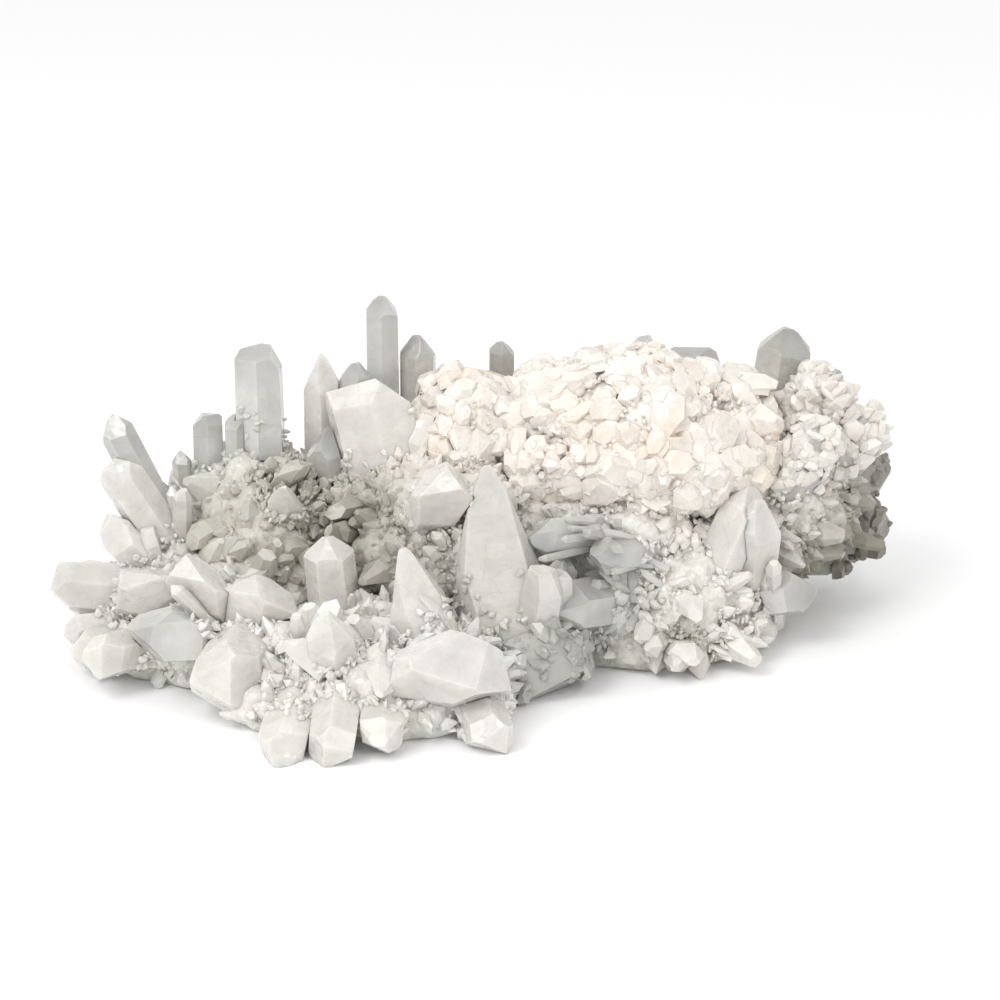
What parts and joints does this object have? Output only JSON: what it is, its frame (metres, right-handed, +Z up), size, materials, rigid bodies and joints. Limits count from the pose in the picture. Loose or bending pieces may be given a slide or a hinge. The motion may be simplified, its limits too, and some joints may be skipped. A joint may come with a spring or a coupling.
{
  "type": "quartz crystal cluster",
  "caption": "Natural cluster of milky and clear quartz crystals on a lumpy rock base, resting on a flat patch underneath.",
  "frame": {"origin": "middle of the cluster's bounding box, on the surface that it rests on", "axes": "+X along the longest side, towards the right; +Y towards the rear; +Z up, the shortest side"},
  "size_m": [0.1968, 0.1162, 0.0759],
  "materials": {
    "rock_quartz": "rough, covered in fine crystals",
    "milky_quartz": "milky, satin",
    "sugar_quartz": "sugary, sparkling",
    "clear_quartz": "cloudy clear, glossy faces",
    "grey_quartz": "smoky grey, glossy faces"
  },
  "bodies": {
    "root": {"host_rock": "rock_quartz", "sugary_dome": "sugar_quartz", "cream_mass": "sugar_quartz", "tallest_point": "clear_quartz", "tallest_companion": "grey_quartz", "milky_block_upper": "milky_quartz", "milky_block_lower": "milky_quartz", "slender_blade": "milky_quartz", "blade_foot": "clear_quartz", "block_peak": "clear_quartz", "back_skirt": "clear_quartz", "dark_back_point": "grey_quartz", "back_bud": "grey_quartz", "cream_drop": "sugar_quartz", "tall_blunt_prism": "clear_quartz", "prism_shoulder": "clear_quartz", "leaning_point": "clear_quartz", "low_left_stub": "milky_quartz", "clear_stub": "clear_quartz", "dark_bud": "grey_quartz", "pale_leaf": "milky_quartz", "great_point": "milky_quartz", "front_fin": "milky_quartz", "great_side": "milky_quartz", "front_stub": "milky_quartz", "front_leaf": "milky_quartz", "front_shelf": "milky_quartz", "foot_left": "milky_quartz", "foot_middle": "milky_quartz", "foot_right": "milky_quartz", "front_toe": "milky_quartz", "far_left_point": "milky_quartz", "far_left_lower": "milky_quartz", "left_crown": "milky_quartz", "left_table": "milky_quartz", "left_quad": "milky_quartz", "white_ridge": "milky_quartz", "thin_stick": "milky_quartz", "big_belly": "milky_quartz", "grey_belly": "clear_quartz", "round_stub": "milky_quartz", "low_left_foot": "milky_quartz", "right_crest": "grey_quartz", "right_crest_step": "grey_quartz", "right_horn": "clear_quartz", "horn_neighbour": "clear_quartz", "right_slope": "milky_quartz", "dark_peak": "grey_quartz", "far_nose": "grey_quartz", "under_slab": "grey_quartz", "crest_dark": "grey_quartz", "crest_left": "clear_quartz", "valley_rod_long": "clear_quartz", "valley_rod_short": "clear_quartz", "right_plate": "milky_quartz", "right_shield": "milky_quartz", "right_low_point": "clear_quartz", "belly_prism": "clear_quartz", "dark_lower": "grey_quartz"}
  },
  "joints": []
}
